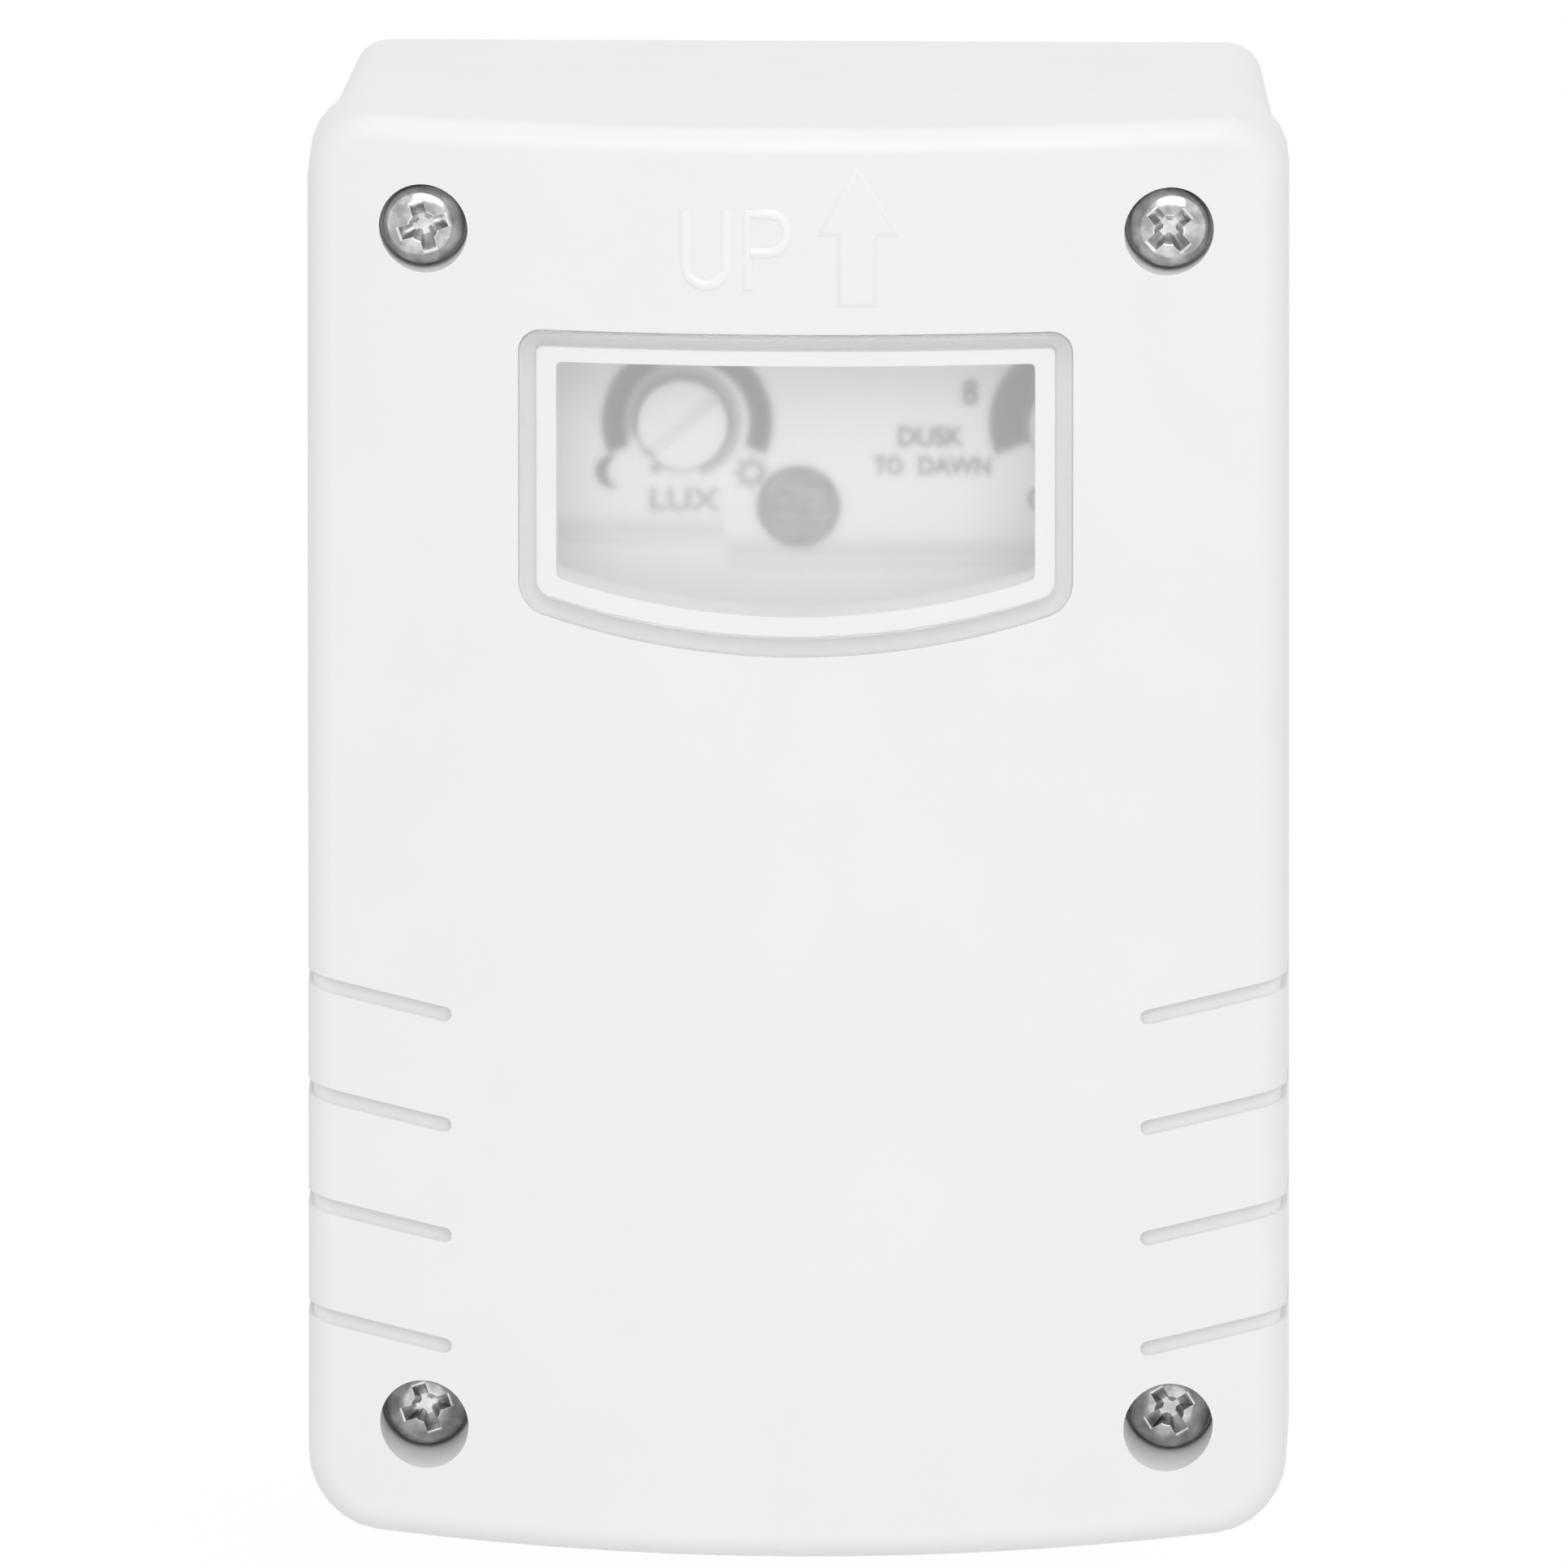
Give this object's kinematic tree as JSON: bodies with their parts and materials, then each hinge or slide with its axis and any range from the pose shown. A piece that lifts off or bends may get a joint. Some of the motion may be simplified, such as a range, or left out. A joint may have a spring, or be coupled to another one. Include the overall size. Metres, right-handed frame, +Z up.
{
  "type": "photocell_switch",
  "caption": "White wall-mounted photocell switch with a bow-fronted cover, a clear window over light and time knobs, and a relay board inside.",
  "frame": {"origin": "middle of the two wall holes, on the back face that lies on the wall", "axes": "+X to the right seen from the front, +Y into the wall, +Z up"},
  "size_m": [0.068, 0.0436, 0.1008],
  "materials": {
    "white_abs": "satin moulded white plastic",
    "clear_lens": "clear moulded window, lightly frosted",
    "screw_steel": "bright plated steel",
    "seal_rubber": "soft dark rubber",
    "grommet_rubber": "soft grey rubber",
    "dial_print": "pale printed sheet",
    "knob_plastic": "satin white plastic",
    "sensor_face": "clear coat over a grey cell",
    "board_green": "green solder resist",
    "dark_plastic": "black moulded plastic",
    "blue_plastic": "blue moulded plastic",
    "ochre_plastic": "ochre potted case",
    "can_sleeve": "shrunk dark sleeve",
    "resistor_body": "tan lacquer",
    "ivory_plastic": "ivory moulded plastic",
    "clamp_brass": "plain brass"
  },
  "bodies": {
    "switch": {"back_box": "white_abs", "cover_seal": "seal_rubber", "front_cover": "white_abs", "window_lens": "clear_lens", "cover_screws": "screw_steel", "inner_cover": "white_abs", "inner_cover_screws": "screw_steel", "dial_sheet": "dial_print", "lux_trimmer": "blue_plastic", "timer_trimmer": "blue_plastic", "light_sensor": "sensor_face", "sensor_spacer": "white_abs", "circuit_board": "board_green", "board_screws": "screw_steel", "relay": "dark_plastic", "film_capacitor": "ochre_plastic", "smoothing_capacitor": "can_sleeve", "surge_absorber": "blue_plastic", "control_chip": "dark_plastic", "rectifier_diodes": "dark_plastic", "resistors": "resistor_body", "terminal_block": "ivory_plastic", "terminal_clamps": "clamp_brass", "terminal_screws": "screw_steel", "cable_grommets": "grommet_rubber"},
    "lux_knob": {"lux_knob": "knob_plastic"},
    "timer_knob": {"timer_knob": "knob_plastic"}
  },
  "joints": [
    {"name": "lux_turn", "type": "hinge", "parent": "switch", "child": "lux_knob", "pos_m": [-0.008, -0.02, 0.0271], "axis": [0, 1, 0], "range_deg": [-158, 62]},
    {"name": "timer_turn", "type": "hinge", "parent": "switch", "child": "timer_knob", "pos_m": [0.0191, -0.02, 0.0271], "axis": [0, 1, 0], "range_deg": [-65, 155]}
  ]
}
